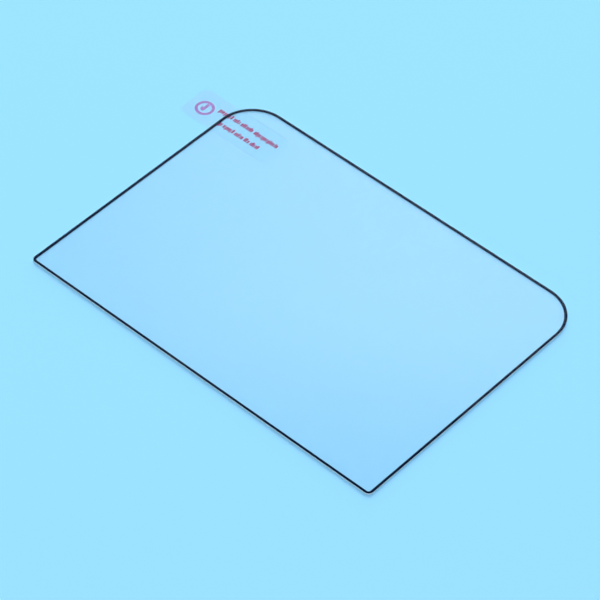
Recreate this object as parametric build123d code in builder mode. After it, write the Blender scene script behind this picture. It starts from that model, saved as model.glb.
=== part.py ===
"""Screen protector for a wide phone display: a tempered glass pane on adhesive, release liner and pull tab.

The panel lies on its liner, front face up. The origin is the middle of the glass outline, on the plane
that the panel rests on. +X runs along the long sides, +Y points to the long side with the large corners
and +Z points out of the front of the glass.
"""
import os

from build123d import *

# Outline of the glass, from the front: large corners on one long side, small ones on the other
glass_length = 122.7
glass_width = 88.0
large_corner_radius = 11.5
small_corner_radius = 1.6
tightest_corner_radius = 0.2

# Tempered glass with a rounded front edge, which leaves a square land at the back
glass_thickness = 0.33
edge_land = 0.12

# Line printed on the back of the glass, nearly out to its edge
border_inset = 0.03
border_width = 0.85
border_thickness = 0.02

# Films behind the glass, both cut a little inside its edge
film_inset = 0.05
adhesive_thickness = 0.20
liner_thickness = 0.10

# Pull tab, a strip of clear film stuck to the back of the liner and standing out past the short side at -X
tab_thickness = 0.05
tab_width = 11.7
tab_reach = 12.0
tab_grip = 21.0
tab_corner_radius = 2.0
tab_from_round_side = 11.2

# Heights of the layers, from the resting plane up
liner_top = liner_thickness
liner_hump_top = tab_thickness + liner_thickness
glass_back = liner_thickness + adhesive_thickness
border_back = glass_back - border_thickness

# Place of the tab
tab_length = tab_reach + tab_grip
tab_middle_x = -glass_length / 2 + (tab_grip - tab_reach) / 2
tab_middle_y = glass_width / 2 - tab_from_round_side


def panel_outline(inset: float) -> Sketch:
    """Outline of the panel, set in evenly from the edge of the glass."""
    with BuildSketch() as outline:
        Rectangle(glass_length - 2 * inset, glass_width - 2 * inset)
        round_side = outline.vertices().group_by(Axis.Y)[-1]
        fillet(round_side, max(large_corner_radius - inset, tightest_corner_radius))
        square_side = outline.vertices().group_by(Axis.Y)[0]
        fillet(square_side, max(small_corner_radius - inset, tightest_corner_radius))
    return outline.sketch


def border_outline() -> Sketch:
    """The printed line, seen from the front."""
    with BuildSketch() as outline:
        add(panel_outline(border_inset))
        add(panel_outline(border_inset + border_width), mode=Mode.SUBTRACT)
    return outline.sketch


def tab_outline(margin: float) -> Sketch:
    """Outline of the pull tab, grown evenly by a margin."""
    with BuildSketch() as outline:
        with Locations((tab_middle_x, tab_middle_y)):
            RectangleRounded(tab_length + 2 * margin, tab_width + 2 * margin, tab_corner_radius + margin)
    return outline.sketch


# Glass pane, with its front edge rounded all the way round
with BuildPart() as glass_pane:
    with BuildSketch(Plane.XY.offset(glass_back)):
        add(panel_outline(0))
    extrude(amount=glass_thickness)
    front_rim = glass_pane.faces().sort_by(Axis.Z)[-1].edges()
    fillet(front_rim, glass_thickness - edge_land)
glass_pane.part.label = "glass_pane"

# Black line, printed on the back of the glass
with BuildPart() as black_border:
    with BuildSketch(Plane.XY.offset(border_back)):
        add(border_outline())
    extrude(amount=border_thickness)
black_border.part.label = "black_border"

# Release liner: a film of one thickness that lies flat and rises over the pull tab
with BuildPart() as release_liner:
    with BuildSketch():
        add(panel_outline(film_inset))
    extrude(amount=liner_top)
    with BuildSketch():
        add(panel_outline(film_inset))
        add(tab_outline(liner_thickness), mode=Mode.INTERSECT)
    extrude(amount=liner_hump_top)
    with BuildSketch():
        add(tab_outline(0))
    extrude(amount=tab_thickness, mode=Mode.SUBTRACT)
release_liner.part.label = "release_liner"

# Adhesive: it fills the room between liner and glass, round the printed line and the liner's hump
with BuildPart() as adhesive_layer:
    with BuildSketch(Plane.XY.offset(liner_top)):
        add(panel_outline(film_inset))
    extrude(amount=adhesive_thickness)
    with BuildSketch(Plane.XY.offset(liner_top)):
        add(tab_outline(liner_thickness))
    extrude(amount=tab_thickness, mode=Mode.SUBTRACT)
    with BuildSketch(Plane.XY.offset(border_back)):
        add(border_outline())
    extrude(amount=border_thickness, mode=Mode.SUBTRACT)
adhesive_layer.part.label = "adhesive_layer"

# Pull tab, flat on the resting plane in the hollow that the liner leaves for it
with BuildPart() as pull_tab:
    with BuildSketch():
        add(tab_outline(0))
    extrude(amount=tab_thickness)
pull_tab.part.label = "pull_tab"

os.makedirs("parts", exist_ok=True)
export_step(glass_pane.part, "parts/glass_pane.step")
export_step(black_border.part, "parts/black_border.step")
export_step(adhesive_layer.part, "parts/adhesive_layer.step")
export_step(release_liner.part, "parts/release_liner.step")
export_step(pull_tab.part, "parts/pull_tab.step")
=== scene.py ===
"""Looks of a tempered glass screen protector, lying on its release liner with its pull tab out to one side.

The solids are loaded as they are and get their finishes here. The print on the pull tab is modelled here.
Sizes of the part are in millimetres and turn to metres where a mesh or a shader takes them. Sizes of the
floor and the lamps are in metres, and angles are in degrees.
"""
from __future__ import annotations

import logging
import math
from dataclasses import dataclass, field
from enum import Flag

import bmesh
import bpy
from mathutils import Matrix, Vector

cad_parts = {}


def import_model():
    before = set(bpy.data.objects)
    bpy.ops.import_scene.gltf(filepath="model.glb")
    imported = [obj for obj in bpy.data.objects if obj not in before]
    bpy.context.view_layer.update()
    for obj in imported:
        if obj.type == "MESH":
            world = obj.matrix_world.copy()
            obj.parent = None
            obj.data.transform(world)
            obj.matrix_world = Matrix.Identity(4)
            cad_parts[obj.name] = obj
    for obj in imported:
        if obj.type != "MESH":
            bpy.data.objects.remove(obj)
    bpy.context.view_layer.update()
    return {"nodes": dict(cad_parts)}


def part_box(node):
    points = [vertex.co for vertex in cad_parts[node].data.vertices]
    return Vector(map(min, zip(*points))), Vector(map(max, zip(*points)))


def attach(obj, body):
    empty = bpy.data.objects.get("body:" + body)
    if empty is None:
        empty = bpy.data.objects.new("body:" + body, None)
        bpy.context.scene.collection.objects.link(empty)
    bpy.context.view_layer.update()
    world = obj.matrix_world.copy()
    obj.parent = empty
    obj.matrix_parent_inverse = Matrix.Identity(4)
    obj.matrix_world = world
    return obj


MM = 0.001
BODY = "root"
# Corners of a mesh that are closer than this become one
MERGE_DISTANCE = 1e-4
# A ray that goes down through the laminate and up again crosses many clear faces
CLEAR_FACES = 32
# Share of light that a surface mirrors grows with this power of the slant of the view
GRAZING_POWER = 5.0
# Sockets of a Mix node that mixes colours
FACTOR, COLOUR_A, COLOUR_B, MIXED = 0, 6, 7, 2
Rgba = tuple[float, float, float, float]

log = logging.getLogger("screen_protector")


def linear(hex_colour: str) -> Rgba:
    """Turn an sRGB hex colour into linear red, green, blue and alpha.

    Args:
        hex_colour: Colour such as "#9be5fe".

    Returns:
        Linear values from 0 to 1, with alpha 1.
    """
    parts = [int(hex_colour[i:i + 2], 16) / 255 for i in (1, 3, 5)]
    red, green, blue = (p / 12.92 if p <= 0.04045 else ((p + 0.055) / 1.055) ** 2.4 for p in parts)
    return red, green, blue, 1.0


def grey(level: float) -> Rgba:
    """Give a linear grey of this level."""
    return level, level, level, 1.0


def per_metre(length_mm: float) -> float:
    """Give the texture scale that makes one cell of a pattern this long on Object coordinates."""
    return 1 / (length_mm * MM)


def direction(heading: float, elevation: float) -> Vector:
    """Give the unit vector at a heading from +X and an elevation, both in degrees."""
    turn, rise = math.radians(heading), math.radians(elevation)
    return Vector((math.cos(rise) * math.cos(turn), math.cos(rise) * math.sin(turn), math.sin(rise)))


def add_node(tree: bpy.types.NodeTree, kind: str, inputs: dict[str | int, object] | None = None,
             **settings: object) -> bpy.types.Node:
    """Add a shader node, set its options and sockets, and link what other nodes send it.

    Args:
        tree: Node tree that the node joins.
        kind: Blender's type name of the node.
        inputs: Socket name or number to a plain value, or to an output, which is linked to it.
        settings: Options of the node itself, such as operation="POWER".

    Returns:
        The new node.
    """
    node = tree.nodes.new(kind)
    for option, value in settings.items():
        setattr(node, option, value)
    for socket, value in (inputs or {}).items():
        if isinstance(value, bpy.types.NodeSocket):
            tree.links.new(value, node.inputs[socket])
        else:
            node.inputs[socket].default_value = value
    return node


def tilted(tree: bpy.types.NodeTree, slope: float) -> bpy.types.NodeSocket:
    """Wire up a mask that is 1 where a face is so steep that its normal rises less than the slope.

    Args:
        tree: Node tree of the material.
        slope: Height of the unit normal below which a face counts.

    Returns:
        The output with the mask.
    """
    surface = add_node(tree, "ShaderNodeNewGeometry")
    normal = add_node(tree, "ShaderNodeSeparateXYZ", {0: surface.outputs["True Normal"]})
    level = add_node(tree, "ShaderNodeMath", {0: normal.outputs["Z"]}, operation="ABSOLUTE")
    steep = add_node(tree, "ShaderNodeMath", {0: level.outputs[0], 1: slope}, operation="LESS_THAN")
    return steep.outputs[0]


def empty_material(name: str) -> tuple[bpy.types.Material, bpy.types.NodeTree]:
    """Make a material with nothing in its node tree.

    Args:
        name: Name of the material.

    Returns:
        The material and its tree.
    """
    material = bpy.data.materials.new(name)
    material.use_nodes = True
    material.node_tree.nodes.clear()
    return material, material.node_tree


def wear(piece: bpy.types.Object, material: bpy.types.Material) -> None:
    """Make a material the only one on a piece."""
    piece.data.materials.clear()
    piece.data.materials.append(material)


def new_object(name: str, data: bpy.types.ID) -> bpy.types.Object:
    """Put a new object with this data in the scene."""
    obj = bpy.data.objects.new(name, data)
    bpy.context.scene.collection.objects.link(obj)
    return obj


def mesh_object(name: str, mesh: bmesh.types.BMesh) -> bpy.types.Object:
    """Put a finished bmesh in the scene as an object.

    Args:
        name: Name of the object and of its mesh.
        mesh: Finished shape in metres, which is used up.

    Returns:
        The object.
    """
    data = bpy.data.meshes.new(name)
    mesh.to_mesh(data)
    mesh.free()
    return new_object(name, data)


@dataclass(frozen=True)
class Block:
    """An upright box in the part's frame, by its lowest and highest corner."""

    low: Vector
    high: Vector

    @classmethod
    def around(cls, node: str) -> Block:
        """Measure the box round a loaded solid."""
        low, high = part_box(node)
        return cls(low / MM, high / MM)

    @property
    def middle(self) -> Vector:
        """Give the middle of the box."""
        return (self.low + self.high) / 2

    @property
    def half_size(self) -> Vector:
        """Give half the box's length, width and height."""
        return (self.high - self.low) / 2


def tab_bed(margin: float = 0.05) -> Block:
    """Measure the block round the tab's stuck end, where tab, liner and adhesive are bonded to each other.

    Args:
        margin: Room past the walls of the liner's hump, and inside the panel's own edge.

    Returns:
        The block.
    """
    tab, liner = Block.around("pull_tab"), Block.around("release_liner")
    grow = liner.high.z - tab.high.z + margin
    return Block(Vector((liner.low.x + margin, tab.low.y - grow, liner.low.z)),
                 Vector((tab.high.x + grow, tab.high.y + grow, liner.high.z)))


class MirrorSide(Flag):
    """Which flat side of a bonded clear sheet meets air, and so mirrors its surroundings."""

    NEITHER = 0
    FRONT = 1
    BACK = 2
    BOTH = 3


@dataclass(frozen=True)
class Fit:
    """Where a sheet lies in the laminate.

    Attributes:
        split: Height that parts the sheet's bare front from its bare back.
        bare_front_to: Highest x at which the front meets air, or None where all of it does.
        bonded: Block in which the sheet's upright walls are stuck to a neighbour, so that they hardly show.
    """

    split: float = 0.0
    bare_front_to: float | None = None
    bonded: Block | None = None


@dataclass(frozen=True)
class CutEdge:
    """How the cut edge of a clear sheet looks from outside, and from inside through the sheet.

    A cut edge scatters light, so from outside it looks pale. Seen through the sheet it is a mirror, and what
    it mirrors is painted into a flat colour: a painted reflection.

    Attributes:
        colour: What it looks like from outside.
        painted_reflection_inside: What it looks like through the sheet.
        roughness: How matt it is.
        cover: How much it hides from outside.
        cover_inside: How much it hides through the sheet.
        slope: A face counts as part of the edge where its normal rises less than this.
        grit: Spacing of the marks that cutting leaves.
        grit_depth: Depth of those marks.
    """

    colour: str
    painted_reflection_inside: str
    roughness: float
    cover: float
    cover_inside: float
    slope: float
    grit: float
    grit_depth: float

    def shader(self, tree: bpy.types.NodeTree, passes: bpy.types.NodeSocket) -> bpy.types.NodeSocket:
        """Wire up the edge over what passes straight through the sheet.

        Args:
            tree: Node tree of the material.
            passes: Shader of what passes through.

        Returns:
            The output with the edge's shader.
        """
        surface = add_node(tree, "ShaderNodeNewGeometry")
        inside = surface.outputs["Backfacing"]
        # The colour seen through the sheet is a painted reflection of what the edge mirrors
        tone_and_painted_reflection = add_node(tree, "ShaderNodeMix", {FACTOR: inside, COLOUR_A: linear(self.colour),
                                                 COLOUR_B: linear(self.painted_reflection_inside)}, data_type="RGBA")
        place = add_node(tree, "ShaderNodeTexCoord")
        marks = add_node(tree, "ShaderNodeTexNoise", {"Vector": place.outputs["Object"],
                                                      "Scale": per_metre(self.grit)})
        relief = add_node(tree, "ShaderNodeBump", {"Height": marks.outputs["Fac"],
                                                   "Distance": self.grit_depth * MM})
        rim = add_node(tree, "ShaderNodeBsdfPrincipled", {"Base Color": tone_and_painted_reflection.outputs[MIXED],
                                                          "Roughness": self.roughness,
                                                          "Normal": relief.outputs["Normal"]})
        cover = add_node(tree, "ShaderNodeMapRange", {"Value": inside, "To Min": self.cover,
                                                      "To Max": self.cover_inside})
        cut = add_node(tree, "ShaderNodeMixShader", {0: cover.outputs["Result"], 1: passes,
                                                     2: rim.outputs[0]})
        return cut.outputs[0]


@dataclass(frozen=True)
class ClearLayer:
    """A flat clear sheet in a laminate: light goes straight through it, and only a side in air mirrors.

    The sheets are thinner than a pixel, so nothing seen through them shifts and no bending is needed.

    Attributes:
        name: What the sheet is made of.
        refractive_index: Sets the share of light that a bare side mirrors head on.
        mirror_side: Flat side that meets air.
        edge: Look of its cut edge.
        coat: Share of the head-on mirror that a coat against glare, or a matt finish, leaves.
        glare: Share mirrored at a grazing view.
        rim_loss: Share of light that the rounded rim bends aside.
        rim_slope: A face is part of the rounded rim where its normal rises less than this.
        bonded_cover: How far a wall shows that is stuck to a neighbour.
        gloss_roughness: Blur of the mirror.
        wave_length: Length of the sheet's slow ripples.
        wave_height: Height of the ripples.
        wave_detail: How many finer ripples lie on them.
    """

    name: str
    refractive_index: float
    mirror_side: MirrorSide
    edge: CutEdge
    coat: float = 1.0
    glare: float = 1.0
    rim_loss: float = 0.0
    rim_slope: float = 0.97
    bonded_cover: float = 0.0
    gloss_roughness: float = 0.0
    wave_length: float = 10.0
    wave_height: float = 0.0
    wave_detail: float = 2.0

    def straight_through(self, tree: bpy.types.NodeTree) -> bpy.types.NodeSocket:
        """Wire up what passes straight through the sheet, less what its rounded rim bends aside.

        Args:
            tree: Node tree of the material.

        Returns:
            The output with the shader.
        """
        clear = add_node(tree, "ShaderNodeBsdfTransparent")
        if self.rim_loss == 0:
            return clear.outputs[0]
        bent = add_node(tree, "ShaderNodeBsdfTransparent", {"Color": grey(1 - self.rim_loss)})
        both = add_node(tree, "ShaderNodeMixShader", {0: tilted(tree, self.rim_slope), 1: clear.outputs[0],
                                                      2: bent.outputs[0]})
        return both.outputs[0]

    def side_in_air(self, tree: bpy.types.NodeTree, fit: Fit) -> bpy.types.NodeSocket:
        """Wire up a mask that is 1 where a flat side of the sheet meets air.

        Args:
            tree: Node tree of the material.
            fit: Where the sheet lies.

        Returns:
            The output with the mask.
        """
        place = add_node(tree, "ShaderNodeTexCoord")
        at = add_node(tree, "ShaderNodeSeparateXYZ", {0: place.outputs["Object"]})
        sides = []
        if MirrorSide.FRONT in self.mirror_side:
            front = add_node(tree, "ShaderNodeMath", {0: at.outputs["Z"], 1: fit.split * MM},
                             operation="GREATER_THAN")
            if fit.bare_front_to is not None:
                bare = add_node(tree, "ShaderNodeMath", {0: at.outputs["X"], 1: fit.bare_front_to * MM},
                                operation="LESS_THAN")
                front = add_node(tree, "ShaderNodeMath", {0: front.outputs[0], 1: bare.outputs[0]},
                                 operation="MULTIPLY")
            sides.append(front.outputs[0])
        if MirrorSide.BACK in self.mirror_side:
            back = add_node(tree, "ShaderNodeMath", {0: at.outputs["Z"], 1: fit.split * MM},
                            operation="LESS_THAN")
            sides.append(back.outputs[0])
        if len(sides) == 1:
            return sides[0]
        either = add_node(tree, "ShaderNodeMath", dict(enumerate(sides)), operation="MAXIMUM")
        return either.outputs[0]

    def mirrored_share(self, tree: bpy.types.NodeTree, fit: Fit) -> bpy.types.NodeSocket:
        """Wire up the share of light that the sheet mirrors, which grows towards a grazing view.

        Args:
            tree: Node tree of the material.
            fit: Where the sheet lies.

        Returns:
            The output with the share.
        """
        head_on = self.coat * ((self.refractive_index - 1) / (self.refractive_index + 1)) ** 2
        slant = add_node(tree, "ShaderNodeLayerWeight")
        grazing = add_node(tree, "ShaderNodeMath", {0: slant.outputs["Facing"], 1: GRAZING_POWER},
                           operation="POWER")
        share = add_node(tree, "ShaderNodeMath", {0: grazing.outputs[0], 1: self.glare - head_on, 2: head_on},
                         operation="MULTIPLY_ADD")
        masked = add_node(tree, "ShaderNodeMath", {0: share.outputs[0], 1: self.side_in_air(tree, fit)},
                          operation="MULTIPLY")
        return masked.outputs[0]

    def flat_side(self, tree: bpy.types.NodeTree, passes: bpy.types.NodeSocket,
                  fit: Fit) -> bpy.types.NodeSocket:
        """Wire up a flat side: a rippled mirror over what passes through, where it meets air.

        Args:
            tree: Node tree of the material.
            passes: Shader of what passes through.
            fit: Where the sheet lies.

        Returns:
            The output with the side's shader.
        """
        if not self.mirror_side:
            return passes
        place = add_node(tree, "ShaderNodeTexCoord")
        waves = add_node(tree, "ShaderNodeTexNoise", {"Vector": place.outputs["Object"],
                                                      "Scale": per_metre(self.wave_length),
                                                      "Detail": self.wave_detail})
        ripple = add_node(tree, "ShaderNodeBump", {"Height": waves.outputs["Fac"],
                                                   "Distance": self.wave_height * MM})
        mirror = add_node(tree, "ShaderNodeBsdfGlossy", {"Roughness": self.gloss_roughness,
                                                         "Normal": ripple.outputs["Normal"]})
        side = add_node(tree, "ShaderNodeMixShader", {0: self.mirrored_share(tree, fit), 1: passes,
                                                      2: mirror.outputs[0]})
        return side.outputs[0]

    def edge_mask(self, tree: bpy.types.NodeTree, fit: Fit) -> bpy.types.NodeSocket:
        """Wire up a mask that is 1 on the sheet's cut edge, and low on walls that are stuck to a neighbour.

        Args:
            tree: Node tree of the material.
            fit: Where the sheet lies.

        Returns:
            The output with the mask.
        """
        upright = tilted(tree, self.edge.slope)
        if fit.bonded is None:
            return upright
        place = add_node(tree, "ShaderNodeTexCoord")
        offset = add_node(tree, "ShaderNodeVectorMath", {0: place.outputs["Object"],
                                                         1: fit.bonded.middle * MM}, operation="SUBTRACT")
        away = add_node(tree, "ShaderNodeVectorMath", {0: offset.outputs["Vector"]}, operation="ABSOLUTE")
        reach = add_node(tree, "ShaderNodeSeparateXYZ", {0: away.outputs["Vector"]})
        past_end = add_node(tree, "ShaderNodeMath", {0: reach.outputs["X"], 1: fit.bonded.half_size.x * MM},
                            operation="GREATER_THAN")
        past_side = add_node(tree, "ShaderNodeMath", {0: reach.outputs["Y"], 1: fit.bonded.half_size.y * MM},
                             operation="GREATER_THAN")
        outside = add_node(tree, "ShaderNodeMath", {0: past_end.outputs[0], 1: past_side.outputs[0]},
                           operation="MAXIMUM")
        shown = add_node(tree, "ShaderNodeMath", {0: outside.outputs[0], 1: self.bonded_cover},
                         operation="MAXIMUM")
        both = add_node(tree, "ShaderNodeMath", {0: upright, 1: shown.outputs[0]}, operation="MULTIPLY")
        return both.outputs[0]

    def material(self, fit: Fit) -> bpy.types.Material:
        """Make the sheet's material.

        Args:
            fit: Where the sheet lies.

        Returns:
            The material.
        """
        material, tree = empty_material(self.name)
        passes = self.straight_through(tree)
        sheet = add_node(tree, "ShaderNodeMixShader", {0: self.edge_mask(tree, fit),
                                                       1: self.flat_side(tree, passes, fit),
                                                       2: self.edge.shader(tree, passes)})
        add_node(tree, "ShaderNodeOutputMaterial", {"Surface": sheet.outputs[0]})
        return material


@dataclass(frozen=True)
class PrintedInk:
    """Screen-printed ink, cured to an even film with the faint grain of the printing mesh.

    Attributes:
        name: What the ink is.
        colour: Colour where the coat is full.
        thin_colour: Colour where the mesh left it thinner.
        roughness: How matt it is.
        mesh_pitch: Spacing of the grain.
        grain_height: Height of the grain.
        grain_detail: How many finer grains lie on it.
        shine: Specular level, low for a matt ink.
        see_through: Share of light that the coat lets through.
    """

    name: str
    colour: str
    thin_colour: str
    roughness: float
    mesh_pitch: float
    grain_height: float = 0.001
    grain_detail: float = 3.0
    shine: float = 0.1
    see_through: float = 0.0

    def material(self) -> bpy.types.Material:
        """Make the ink's material.

        Returns:
            The material.
        """
        material, tree = empty_material(self.name)
        place = add_node(tree, "ShaderNodeTexCoord")
        grain = add_node(tree, "ShaderNodeTexNoise", {"Vector": place.outputs["Object"],
                                                      "Scale": per_metre(self.mesh_pitch),
                                                      "Detail": self.grain_detail})
        tone = add_node(tree, "ShaderNodeMix", {FACTOR: grain.outputs["Fac"], COLOUR_A: linear(self.colour),
                                                COLOUR_B: linear(self.thin_colour)}, data_type="RGBA")
        relief = add_node(tree, "ShaderNodeBump", {"Height": grain.outputs["Fac"],
                                                   "Distance": self.grain_height * MM})
        film = add_node(tree, "ShaderNodeBsdfPrincipled", {"Base Color": tone.outputs[MIXED],
                                                           "Roughness": self.roughness,
                                                           "Specular IOR Level": self.shine,
                                                           "Normal": relief.outputs["Normal"]})
        if self.see_through > 0:
            clear = add_node(tree, "ShaderNodeBsdfTransparent")
            film = add_node(tree, "ShaderNodeMixShader", {0: self.see_through, 1: film.outputs[0],
                                                          2: clear.outputs[0]})
        add_node(tree, "ShaderNodeOutputMaterial", {"Surface": film.outputs[0]})
        return material


@dataclass
class GlassPanel:
    """The glass, the line printed on its back and the adhesive under it."""

    glass: ClearLayer
    border: PrintedInk
    adhesive: ClearLayer

    def dress(self, nodes: dict[str, bpy.types.Object]) -> list[str]:
        """Give the panel's solids their finishes.

        Args:
            nodes: Objects of the loaded solids by name.

        Returns:
            Names of the pieces dressed.
        """
        materials = {
            "glass_pane": self.glass.material(Fit(split=Block.around("glass_pane").middle.z)),
            "black_border": self.border.material(),
            "adhesive_layer": self.adhesive.material(Fit(bonded=tab_bed())),
        }
        for name, material in materials.items():
            wear(nodes[name], material)
        # Light bends down steeply in the glass, so the line's shadow stays hidden under the line
        nodes["black_border"].visible_shadow = False
        return list(materials)


@dataclass
class PrintPlate:
    """Flat print in the pull tab: it lies just inside the film's back, so it shows from both sides.

    Attributes:
        depth: How far it lies inside the film's back.
        thickness: Thickness of the print.
    """

    depth: float = 0.004
    thickness: float = 0.006

    def piece(self, name: str, mesh: bmesh.types.BMesh, material: bpy.types.Material) -> bpy.types.Object:
        """Turn a finished bmesh, in millimetres, into a piece that stays with the part.

        Args:
            name: Name of the piece.
            mesh: Closed shape, which is used up.
            material: The ink.

        Returns:
            The piece.
        """
        bmesh.ops.remove_doubles(mesh, verts=mesh.verts, dist=MERGE_DISTANCE)
        bmesh.ops.recalc_face_normals(mesh, faces=mesh.faces)
        bmesh.ops.scale(mesh, vec=(MM, MM, MM), verts=mesh.verts)
        piece = mesh_object(name, mesh)
        wear(piece, material)
        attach(piece, BODY)
        return piece


@dataclass
class StepSign(PrintPlate):
    """A ring with the numeral of the first step, to be read from the back of the tab.

    Attributes:
        from_end: Middle of the ring, from the tab's outer end.
        off_middle: Middle of the ring, from the tab's middle line.
        ring_radius: Radius of the middle of the ring's stroke.
        ring_stroke: Width of the ring's stroke.
        ring_steps: Flats round the ring.
        numeral_shift: From the middle of the ring to the stem's left side and to the middle of its height.
        numeral_height: Height of the numeral.
        numeral_stroke: Width of its stem.
        flag_reach: How far its flag stands out, and slopes down.
        flag_depth: Height of the flag.
    """

    from_end: float = 5.29
    off_middle: float = -0.6
    ring_radius: float = 2.47
    ring_stroke: float = 0.84
    ring_steps: int = 96
    numeral_shift: tuple[float, float] = (-0.505, 0.32)
    numeral_height: float = 3.2
    numeral_stroke: float = 0.9
    flag_reach: float = 0.5
    flag_depth: float = 1.08

    def middle(self, tab: Block) -> Vector:
        """Give the middle of the ring, at the height of the print's back."""
        return Vector((tab.low.x + self.from_end, tab.middle.y + self.off_middle, tab.low.z + self.depth))

    def ring(self, tab: Block, material: bpy.types.Material) -> bpy.types.Object:
        """Spin the ring from its cross-section.

        Args:
            tab: Box of the pull tab.
            material: The ink.

        Returns:
            The ring.
        """
        mesh = bmesh.new()
        inner, outer = self.ring_radius - self.ring_stroke / 2, self.ring_radius + self.ring_stroke / 2
        section = [mesh.verts.new(corner) for corner in
                   ((inner, 0, 0), (outer, 0, 0), (outer, 0, self.thickness), (inner, 0, self.thickness))]
        edges = [mesh.edges.new(pair) for pair in zip(section, section[1:] + section[:1])]
        bmesh.ops.spin(mesh, geom=section + edges, cent=(0, 0, 0), axis=(0, 0, 1), angle=math.tau,
                       steps=self.ring_steps, use_merge=True)
        bmesh.ops.translate(mesh, vec=self.middle(tab), verts=mesh.verts)
        return self.piece("tab_step_ring", mesh, material)

    def numeral(self, tab: Block, material: bpy.types.Material) -> bpy.types.Object:
        """Extrude the numeral, a stem with a flag, turned over so that it reads from the back.

        Args:
            tab: Box of the pull tab.
            material: The ink.

        Returns:
            The numeral.
        """
        half, stem, reach = self.numeral_height / 2, self.numeral_stroke, self.flag_reach
        outline = ((0, -half), (stem, -half), (stem, half), (0, half), (-reach, half - reach),
                   (-reach, half - reach - self.flag_depth), (0, half - self.flag_depth))
        mesh = bmesh.new()
        face = mesh.faces.new([mesh.verts.new((along, -up, 0)) for along, up in outline])
        raised = bmesh.ops.extrude_face_region(mesh, geom=[face])
        lifted = [v for v in raised["geom"] if isinstance(v, bmesh.types.BMVert)]
        bmesh.ops.translate(mesh, vec=(0, 0, self.thickness), verts=lifted)
        place = self.middle(tab) + Vector((*self.numeral_shift, 0))
        bmesh.ops.translate(mesh, vec=place, verts=mesh.verts)
        return self.piece("tab_step_numeral", mesh, material)


@dataclass
class NoteLine(PrintPlate):
    """A line of a made-up note: plain upright strokes in groups as long as words.

    Attributes:
        name: Name of the line.
        from_end: Where it starts, from the tab's outer end.
        off_middle: Its middle, from the tab's middle line.
        words: Number of strokes in each group.
        widths: Widths of the strokes, in turn.
        heights: Heights of the strokes, in turn.
        gaps: Gaps after the strokes, in turn.
        body_height: Height of the band that the strokes share. A taller one stands out past one side of it.
        dropped: Every stroke of this number stands out at the other side.
        word_gap: Extra gap between groups.
    """

    name: str = "tab_note"
    from_end: float = 0.0
    off_middle: float = 0.0
    words: tuple[int, ...] = ()
    widths: tuple[float, ...] = (0.50, 0.36, 0.58, 0.42, 0.48)
    heights: tuple[float, ...] = (1.6, 1.2, 1.25, 1.6, 1.2, 1.25, 1.55)
    gaps: tuple[float, ...] = (0.12, 0.14, 0.28, 0.12, 0.14, 0.12, 0.30, 0.14)
    body_height: float = 1.2
    dropped: int = 3
    word_gap: float = 0.42

    def strokes(self, tab: Block, material: bpy.types.Material) -> bpy.types.Object:
        """Set the strokes in a row.

        Args:
            tab: Box of the pull tab.
            material: The ink.

        Returns:
            The line of strokes.
        """
        mesh = bmesh.new()
        along, count = tab.low.x + self.from_end, 0
        up = tab.low.z + self.depth + self.thickness / 2
        for word in self.words:
            for _ in range(word):
                width, height, gap = (sizes[count % len(sizes)]
                                      for sizes in (self.widths, self.heights, self.gaps))
                side = -1 if count % self.dropped == 0 else 1
                across = tab.middle.y + self.off_middle + side * (height - self.body_height) / 2
                place = Matrix.Translation((along + width / 2, across, up))
                size = Matrix.Diagonal((width, height, self.thickness, 1))
                bmesh.ops.create_cube(mesh, size=1, matrix=place @ size)
                along += width + gap
                count += 1
            along += self.word_gap
        return self.piece(self.name, mesh, material)


@dataclass
class LinerAndTab:
    """The release liner and the strip stuck to its back that pulls it off, with the print on the strip."""

    liner: ClearLayer
    tab: ClearLayer
    note_ink: PrintedInk
    sign_ink: PrintedInk
    sign: StepSign = field(default_factory=StepSign)
    notes: tuple[NoteLine, ...] = (
        NoteLine(name="tab_note_upper", from_end=9.05, off_middle=1.6, words=(8, 4, 7, 14)),
        NoteLine(name="tab_note_lower", from_end=12.65, off_middle=-2.4, words=(2, 6, 5, 3, 5)),
    )

    def dress(self, nodes: dict[str, bpy.types.Object]) -> list[str]:
        """Give the two films their finishes.

        Args:
            nodes: Objects of the loaded solids by name.

        Returns:
            Names of the pieces dressed.
        """
        tab_middle = Block.around("pull_tab").middle.z
        panel_end = Block.around("glass_pane").low.x
        materials = {
            "release_liner": self.liner.material(Fit(split=tab_middle, bonded=tab_bed())),
            "pull_tab": self.tab.material(Fit(split=tab_middle, bare_front_to=panel_end)),
        }
        for name, material in materials.items():
            wear(nodes[name], material)
        return list(materials)

    def build(self) -> list[str]:
        """Make the print on the tab.

        Returns:
            Names of the new pieces.
        """
        tab = Block.around("pull_tab")
        sign_ink, note_ink = self.sign_ink.material(), self.note_ink.material()
        pieces = [self.sign.ring(tab, sign_ink), self.sign.numeral(tab, sign_ink)]
        pieces += [note.strokes(tab, note_ink) for note in self.notes]
        return [piece.name for piece in pieces]


@dataclass
class Softbox:
    """A square lamp that looks at the part.

    Attributes:
        name: Name of the lamp.
        heading: Where it stands, as an angle from +X.
        elevation: Its height, as an angle above the floor.
        distance: How far away it is.
        side: Length of its side.
        share: How much of a plain level of light it gives the floor.
    """

    name: str
    heading: float
    elevation: float
    distance: float
    side: float
    share: float

    def build(self) -> None:
        """Make the lamp, with the power at which a white floor shows its share of white."""
        lamp = bpy.data.lights.new(self.name, "AREA")
        lamp.shape = "SQUARE"
        lamp.size = self.side
        lamp.energy = self.share * math.pi ** 2 * self.distance ** 2 / math.sin(math.radians(self.elevation))
        obj = new_object(self.name, lamp)
        towards = direction(self.heading, self.elevation)
        obj.location = towards * self.distance
        obj.rotation_euler = towards.to_track_quat("Z", "Y").to_euler()
        obj.visible_glossy = False


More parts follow.
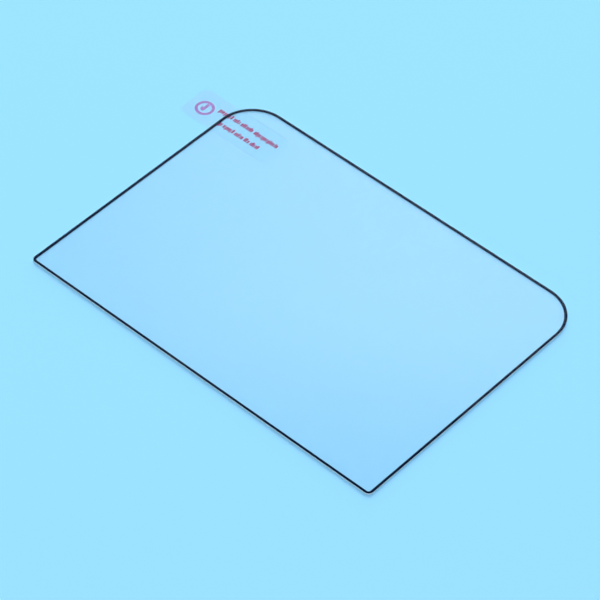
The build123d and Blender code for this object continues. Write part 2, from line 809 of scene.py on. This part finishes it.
@dataclass
class Studio:
    """Plain pale floor, soft light, a window behind the part and a camera at the photograph's angle.

    Attributes:
        floor_colour: Colour of the floor, and of the backdrop behind it.
        floor_drop: Gap between the part and the floor, in millimetres.
        floor_side: Side of the floor.
        backdrop_top: Elevation at which the backdrop starts to fade.
        room_from: Elevation from which there is only the dim room.
        room_light: Level of light of the room.
        window_light: Level of light of the window.
        window_heading: Direction of the window's middle.
        window_elevation: Elevation of the window's middle.
        window_full: The window is bright up to this angle from its middle.
        window_end: Its light has faded out at this angle from its middle.
        strip_full: The window is bright up to this angle to either side of its heading.
        strip_end: Its light has faded out at this angle to either side.
        lamps: The lamps.
        camera_aim: Point in the part's frame that the camera looks at, in millimetres.
        camera_heading: Where the camera stands, as an angle from +X.
        camera_elevation: Its height, as an angle above the floor.
        camera_distance: Its distance, in millimetres.
        camera_roll: How far it is turned about its line of sight.
        camera_near: Nearest thing that it sees.
        lens: Focal length, in millimetres.
        sensor: Width of the picture behind the lens, in millimetres.
    """

    floor_colour: str = "#9adaff"
    floor_drop: float = 0.02
    floor_side: float = 8.0
    backdrop_top: float = 15.0
    room_from: float = 35.0
    room_light: float = 0.10
    window_light: float = 1.98
    window_heading: float = 127.2
    window_elevation: float = 10.0
    window_full: float = 36.9
    window_end: float = 39.9
    strip_full: float = 1.0
    strip_end: float = 10.7
    lamps: tuple[Softbox, ...] = (
        Softbox("key_softbox", heading=131, elevation=24, distance=5.0, side=3.8, share=0.605),
        Softbox("fill_softbox", heading=-54, elevation=56, distance=5.0, side=3.0, share=0.395),
    )
    camera_aim: tuple[float, float, float] = (2.33, -5.13, 0.29)
    camera_heading: float = -48.94
    camera_elevation: float = 46.78
    camera_distance: float = 891.5
    camera_roll: float = 1.5
    camera_near: float = 0.01
    lens: float = 198.4
    sensor: float = 36.0

    def floor(self) -> None:
        """Lay the floor a hair under the part."""
        mesh = bmesh.new()
        bmesh.ops.create_grid(mesh, x_segments=1, y_segments=1, size=self.floor_side / 2)
        bmesh.ops.translate(mesh, vec=(0, 0, -self.floor_drop * MM), verts=mesh.verts)
        obj = mesh_object("floor", mesh)
        material, tree = empty_material("matt_card")
        card = add_node(tree, "ShaderNodeBsdfDiffuse", {"Color": linear(self.floor_colour)})
        add_node(tree, "ShaderNodeOutputMaterial", {"Surface": card.outputs[0]})
        wear(obj, material)

    def walls(self, tree: bpy.types.NodeTree, look: bpy.types.NodeSocket) -> bpy.types.NodeSocket:
        """Wire up the room: a pale backdrop low down that fades into a dim room.

        Args:
            tree: Node tree of the world.
            look: Direction of view.

        Returns:
            The output with the colour of the walls.
        """
        rise = add_node(tree, "ShaderNodeSeparateXYZ", {0: look})
        above = add_node(tree, "ShaderNodeMapRange",
                         {"Value": rise.outputs["Z"], "From Min": math.sin(math.radians(self.backdrop_top)),
                          "From Max": math.sin(math.radians(self.room_from))},
                         interpolation_type="SMOOTHSTEP")
        walls = add_node(tree, "ShaderNodeMix", {FACTOR: above.outputs["Result"],
                                                 COLOUR_A: linear(self.floor_colour),
                                                 COLOUR_B: grey(self.room_light)}, data_type="RGBA")
        return walls.outputs[MIXED]

    def window(self, tree: bpy.types.NodeTree, look: bpy.types.NodeSocket) -> bpy.types.NodeSocket:
        """Wire up a mask of the tall window with soft sides that the glass mirrors.

        Args:
            tree: Node tree of the world.
            look: Direction of view.

        Returns:
            The output with the mask.
        """
        middle = direction(self.window_heading, self.window_elevation)
        near = add_node(tree, "ShaderNodeVectorMath", {0: look, 1: middle}, operation="DOT_PRODUCT")
        patch = add_node(tree, "ShaderNodeMapRange",
                         {"Value": near.outputs["Value"],
                          "From Min": math.cos(math.radians(self.window_end)),
                          "From Max": math.cos(math.radians(self.window_full))},
                         interpolation_type="SMOOTHSTEP")
        sideways = direction(self.window_heading + 90, 0)
        beside = add_node(tree, "ShaderNodeVectorMath", {0: look, 1: sideways}, operation="DOT_PRODUCT")
        away = add_node(tree, "ShaderNodeMath", {0: beside.outputs["Value"]}, operation="ABSOLUTE")
        strip = add_node(tree, "ShaderNodeMapRange",
                         {"Value": away.outputs[0],
                          "From Min": math.sin(math.radians(self.strip_end)),
                          "From Max": math.sin(math.radians(self.strip_full))},
                         interpolation_type="SMOOTHSTEP")
        lit = add_node(tree, "ShaderNodeMath", {0: patch.outputs["Result"], 1: strip.outputs["Result"]},
                       operation="MULTIPLY")
        return lit.outputs[0]

    def world(self) -> None:
        """Set the room with its window round the part."""
        world = bpy.data.worlds.new("studio")
        bpy.context.scene.world = world
        world.use_nodes = True
        tree = world.node_tree
        tree.nodes.clear()
        look = add_node(tree, "ShaderNodeTexCoord").outputs["Generated"]
        light = add_node(tree, "ShaderNodeMix", {FACTOR: self.window(tree, look),
                                                 COLOUR_A: self.walls(tree, look),
                                                 COLOUR_B: grey(self.window_light)}, data_type="RGBA")
        sky = add_node(tree, "ShaderNodeBackground", {"Color": light.outputs[MIXED]})
        add_node(tree, "ShaderNodeOutputWorld", {"Surface": sky.outputs[0]})

    def camera(self) -> None:
        """Set up the camera."""
        data = bpy.data.cameras.new("camera")
        data.sensor_width = self.sensor
        data.lens = self.lens
        data.clip_start = self.camera_near
        obj = new_object("camera", data)
        back = direction(self.camera_heading, self.camera_elevation)
        level = back.to_track_quat("Z", "Y").to_matrix().to_4x4()
        roll = Matrix.Rotation(math.radians(self.camera_roll), 4, "Z")
        place = (Vector(self.camera_aim) + back * self.camera_distance) * MM
        obj.matrix_world = Matrix.Translation(place) @ level @ roll
        bpy.context.scene.camera = obj

    def build(self) -> None:
        """Make the floor, the light and the camera."""
        self.floor()
        self.world()
        for lamp in self.lamps:
            lamp.build()
        self.camera()
        bpy.context.scene.view_settings.view_transform = "Standard"
        bpy.context.scene.cycles.transparent_max_bounces = CLEAR_FACES


# The marks of grinding and slitting and the mesh of the print are too fine to see on the real thing.
# They are drawn coarser, so that they show as a faint unevenness.

# Ground glass: pale and matt where it scatters light; through the glass, a painted reflection of the dark
# line
GROUND_EDGE = CutEdge(
    colour="#fffaf0", painted_reflection_inside="#020a16", roughness=0.5, cover=1.0, cover_inside=0.8, slope=0.2,
    grit=0.12, grit_depth=0.004)
# Silicone, cut along with the film: a soft milky thread
MILKY_EDGE = CutEdge(
    colour="#fffaf0", painted_reflection_inside="#efe8e0", roughness=0.6, cover=1.0, cover_inside=0.15, slope=0.6,
    grit=0.30, grit_depth=0.006)
# Polyester film, slit by a blade: its dark colour is a painted reflection of the dim room and painted shade
SLIT_EDGE = CutEdge(
    colour="#627a88", painted_reflection_inside="#c9d6dc", roughness=0.4, cover=1.0, cover_inside=0.15, slope=0.6,
    grit=0.20, grit_depth=0.003)
# Film as thin as paper, punched out: a faint pale line at most
PUNCHED_EDGE = CutEdge(
    colour="#efe8e0", painted_reflection_inside="#efe8e0", roughness=0.6, cover=0.15, cover_inside=0.1, slope=0.6,
    grit=0.20, grit_depth=0.003)

# Tempered soda-lime glass, polished, coated on the front and rounded at the rim: quite clear, with a thin
# clean sheen of the window, and a rim that is darker because it sends light aside
TEMPERED_GLASS = ClearLayer(
    name="tempered_glass", refractive_index=1.51, mirror_side=MirrorSide.FRONT, edge=GROUND_EDGE,
    coat=0.35, rim_loss=0.4, gloss_roughness=0.03, wave_length=40.0, wave_height=0.002)
# Silicone, cast clear between glass and liner: unseen but for its cut edge
SILICONE_ADHESIVE = ClearLayer(
    name="silicone_adhesive", refractive_index=1.41, mirror_side=MirrorSide.NEITHER, edge=MILKY_EDGE,
    bonded_cover=0.3)
# Stretched polyester film: clear, and its slightly wavy back gives the second, softer part of the sheen.
# Light meets that back steeply, bent by the glass, so its share hardly grows at a low view
LINER_FILM = ClearLayer(
    name="polyester_liner", refractive_index=1.58, mirror_side=MirrorSide.BACK, edge=SLIT_EDGE,
    glare=0.06, bonded_cover=0.3, gloss_roughness=0.1, wave_length=15.0, wave_height=0.003)
# Thinner polyester film, a little matt, and limp enough to be wavier: hardly more than a pale patch, with
# a sheen at low angles
TAB_FILM = ClearLayer(
    name="polyester_tab", refractive_index=1.58, mirror_side=MirrorSide.BOTH, edge=PUNCHED_EDGE,
    coat=0.6, gloss_roughness=0.1, wave_length=8.0, wave_height=0.004)
# Screen ink on the back of the glass, a thick coat: an even, matt, bluish black
BORDER_INK = PrintedInk(
    name="black_screen_ink", colour="#001433", thin_colour="#001738", roughness=0.6, mesh_pitch=0.15)
# Screen ink on clear film, one coat: a deep pink red through which a little of the floor's blue comes
NOTE_INK = PrintedInk(
    name="red_screen_ink", colour="#a83673", thin_colour="#b2437c", roughness=0.5, mesh_pitch=0.12,
    see_through=0.1)
# The same ink in a much thinner coat: more of the blue comes through, so it looks violet
SIGN_INK = PrintedInk(
    name="thin_red_screen_ink", colour="#cd53bb", thin_colour="#d261c1", roughness=0.5, mesh_pitch=0.12,
    see_through=0.68)


def main() -> None:
    """Load the solids, dress them, add the print and set the studio."""
    logging.basicConfig(level=logging.INFO)
    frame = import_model()
    panel = GlassPanel(TEMPERED_GLASS, BORDER_INK, SILICONE_ADHESIVE)
    films = LinerAndTab(LINER_FILM, TAB_FILM, NOTE_INK, SIGN_INK)
    for name in panel.dress(frame["nodes"]) + films.dress(frame["nodes"]):
        log.info("dressed %s", name)
    for name in films.build():
        log.info("made %s", name)
    Studio().build()
    bpy.context.view_layer.update()


if __name__ == "__main__":
    main()
